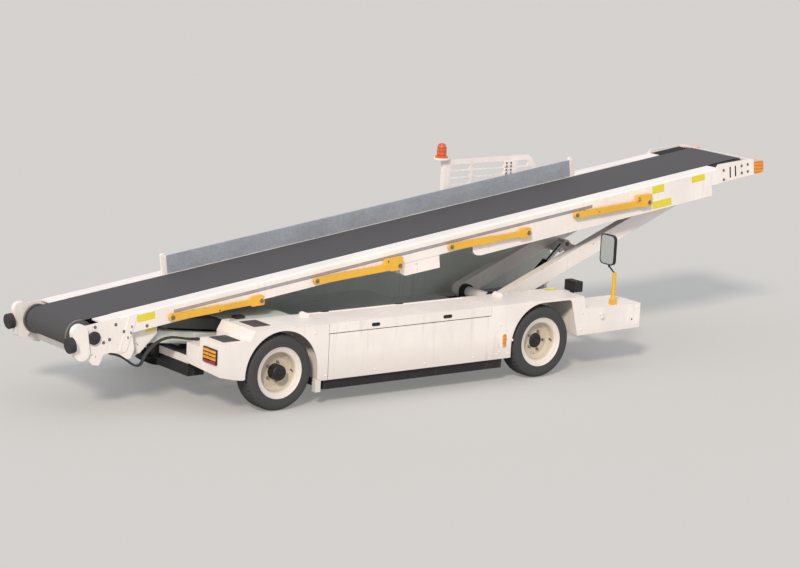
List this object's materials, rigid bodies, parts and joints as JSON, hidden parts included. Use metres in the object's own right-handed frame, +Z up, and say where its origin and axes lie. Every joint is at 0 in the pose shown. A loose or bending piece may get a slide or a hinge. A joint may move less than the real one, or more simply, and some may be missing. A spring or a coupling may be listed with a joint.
{
  "type": "baggage belt loader",
  "caption": "Low four-wheeled airport vehicle carrying a long inclined conveyor boom on rear link arms and front lift arms, with folding side posts and a driver's place at the left front.",
  "frame": {"origin": "middle of the machine's bounding box at the ground, under the tyres", "axes": "+X towards the boom's raised nose and the front, +Y to the driver's side on the left, +Z up"},
  "size_m": [7.1744, 1.92, 1.7683],
  "materials": {
    "white_paint": "satin",
    "black_paint": "satin",
    "grey_paint": "satin",
    "yellow_paint": "satin",
    "galvanised_steel": "dull",
    "cast_iron": "rough",
    "steel": "satin",
    "chrome": "polished",
    "tyre_rubber": "matte",
    "belt_rubber": "matte",
    "hose_rubber": "matte",
    "amber_plastic": "gloss",
    "black_plastic": "matte",
    "seat_cloth": "matte"
  },
  "bodies": {
    "chassis": {"chassis_frame": "black_paint", "body_right": "white_paint", "body_left": "white_paint", "engine_block": "cast_iron", "centre_deck": "grey_paint", "driver_floor": "black_paint", "dash_panel": "white_paint", "seat_pads": "seat_cloth", "slotted_guard": "white_paint", "beacon": "amber_plastic", "rear_axle": "black_paint", "front_axle": "black_paint", "lamps": "amber_plastic", "mirror_post": "yellow_paint"},
    "side_lid": {"lid_right": "white_paint"},
    "engine_hood": {"engine_hood": "white_paint"},
    "steering_wheel": {"steering_wheel": "black_plastic"},
    "knuckle_right": {"knuckle_right": "black_paint"},
    "knuckle_left": {"knuckle_left": "black_paint"},
    "front_right_wheel": {"wheel_front_right": "white_paint", "tyre_front_right": "tyre_rubber"},
    "front_left_wheel": {"wheel_front_left": "white_paint", "tyre_front_left": "tyre_rubber"},
    "rear_right_wheel": {"wheel_rear_right": "white_paint", "tyre_rear_right": "tyre_rubber"},
    "rear_left_wheel": {"wheel_rear_left": "white_paint", "tyre_rear_left": "tyre_rubber"},
    "link_arms": {"link_arms": "grey_paint", "hose_outer": "hose_rubber", "hose_inner": "hose_rubber"},
    "tail_bracket": {"tail_bracket": "grey_paint"},
    "boom": {"boom_frame": "white_paint", "tail_end": "white_paint", "belt": "belt_rubber", "guard_sheet": "galvanised_steel", "boom_lamps": "amber_plastic"},
    "tail_roller": {"tail_roller": "steel"},
    "nose_roller": {"nose_roller": "steel"},
    "lift_tube": {"lift_tube": "white_paint"},
    "lift_arms": {"lift_arms": "white_paint"},
    "lift_barrel": {"lift_barrel": "black_paint"},
    "lift_rod": {"lift_rod": "chrome"},
    "post_1": {"post_1": "yellow_paint"},
    "post_2": {"post_2": "yellow_paint"},
    "post_3": {"post_3": "yellow_paint"},
    "post_4": {"post_4": "yellow_paint"}
  },
  "joints": [
    {"name": "steer_right", "type": "hinge", "parent": "chassis", "child": "knuckle_right", "pos_m": [0.67052, -0.74, 0.306], "axis": [0, 0, 1], "range_deg": [-28, 28]},
    {"name": "steer_left", "type": "hinge", "parent": "chassis", "child": "knuckle_left", "pos_m": [0.67052, 0.74, 0.306], "axis": [0, 0, 1], "range_deg": [-28, 28]},
    {"name": "steering_wheel_turn", "type": "hinge", "parent": "chassis", "child": "steering_wheel", "pos_m": [1.66052, 0.73, 0.9], "axis": [-0.5736, 0, 0.8192], "range_deg": [-280, 280]},
    {"name": "front_right_spin", "type": "hinge", "parent": "knuckle_right", "child": "front_right_wheel", "pos_m": [0.67052, -0.845, 0.306], "axis": [0, 1, 0], "continuous": true},
    {"name": "front_left_spin", "type": "hinge", "parent": "knuckle_left", "child": "front_left_wheel", "pos_m": [0.67052, 0.845, 0.306], "axis": [0, 1, 0], "continuous": true},
    {"name": "rear_right_spin", "type": "hinge", "parent": "chassis", "child": "rear_right_wheel", "pos_m": [-1.95948, -0.845, 0.306], "axis": [0, 1, 0], "continuous": true},
    {"name": "rear_left_spin", "type": "hinge", "parent": "chassis", "child": "rear_left_wheel", "pos_m": [-1.95948, 0.845, 0.306], "axis": [0, 1, 0], "continuous": true},
    {"name": "lid_right_open", "type": "hinge", "parent": "chassis", "child": "side_lid", "pos_m": [-0.70948, -0.596, 0.665], "axis": [-1, 0, 0], "range_deg": [0, 75]},
    {"name": "lid_left_open", "type": "hinge", "parent": "chassis", "child": "engine_hood", "pos_m": [-0.62948, 0.512, 0.9], "axis": [1, 0, 0], "range_deg": [0, 60]},
    {"name": "rear_lift", "type": "hinge", "parent": "chassis", "child": "link_arms", "pos_m": [-1.65948, 0, 0.41], "axis": [0, 1, 0], "range_deg": [0, 12]},
    {"name": "tail_level", "type": "hinge", "parent": "link_arms", "child": "tail_bracket", "pos_m": [-2.9597, 0, 0.46954], "axis": [0, 1, 0], "range_deg": [-12, 0]},
    {"name": "boom_pitch", "type": "hinge", "parent": "tail_bracket", "child": "boom", "pos_m": [-2.9597, 0, 0.46954], "axis": [0, -1, 0], "range_deg": [-5, 10.44]},
    {"name": "lift_tube_turn", "type": "hinge", "parent": "chassis", "child": "lift_tube", "pos_m": [0.74052, 0, 0.521], "axis": [0, -1, 0], "range_deg": [0, 7.3]},
    {"name": "lift_swing", "type": "hinge", "parent": "lift_tube", "child": "lift_arms", "pos_m": [0.74052, 0, 0.521], "axis": [0, -1, 0], "range_deg": [-13.87, 28.86]},
    {"name": "cylinder_tilt", "type": "hinge", "parent": "chassis", "child": "lift_barrel", "pos_m": [1.00852, 0, 0.33], "axis": [0, -1, 0], "range_deg": [-14.25, 29.53]},
    {"name": "cylinder_stroke", "type": "slide", "parent": "lift_barrel", "child": "lift_rod", "axis": [0.74, 0, 0.6726], "range_m": [-0.0811, 0.1661]},
    {"name": "tail_roller_spin", "type": "hinge", "parent": "boom", "child": "tail_roller", "pos_m": [-3.40289, 0, 0.61651], "axis": [0, 1, 0], "continuous": true},
    {"name": "nose_roller_spin", "type": "hinge", "parent": "boom", "child": "nose_roller", "pos_m": [3.39751, 0, 1.56444], "axis": [0, 1, 0], "continuous": true},
    {"name": "post_1_fold", "type": "hinge", "parent": "boom", "child": "post_1", "pos_m": [-1.86202, -0.46, 0.78773], "axis": [0, 1, 0], "range_deg": [0, 87]},
    {"name": "post_2_fold", "type": "hinge", "parent": "boom", "child": "post_2", "pos_m": [-0.51384, -0.46, 0.96665], "axis": [0, 1, 0], "range_deg": [0, 87]},
    {"name": "post_3_fold", "type": "hinge", "parent": "boom", "child": "post_3", "pos_m": [0.83434, -0.46, 1.14558], "axis": [0, 1, 0], "range_deg": [0, 87]},
    {"name": "post_4_fold", "type": "hinge", "parent": "boom", "child": "post_4", "pos_m": [2.18252, -0.46, 1.32451], "axis": [0, 1, 0], "range_deg": [0, 87]}
  ],
  "couplings": [
    {"joint": "steer_left", "follows": "steer_right", "ratio": 1},
    {"joint": "steering_wheel_turn", "follows": "steer_right", "ratio": 10},
    {"joint": "tail_level", "follows": "rear_lift", "ratio": -1},
    {"joint": "lift_tube_turn", "follows": "rear_lift", "ratio": 0.6},
    {"joint": "lift_swing", "follows": "boom_pitch", "ratio": 2.755},
    {"joint": "cylinder_tilt", "follows": "boom_pitch", "ratio": 2.8096},
    {"joint": "cylinder_stroke", "follows": "boom_pitch", "m_per_rad": 0.8952},
    {"joint": "nose_roller_spin", "follows": "tail_roller_spin", "ratio": 1.8182}
  ]
}
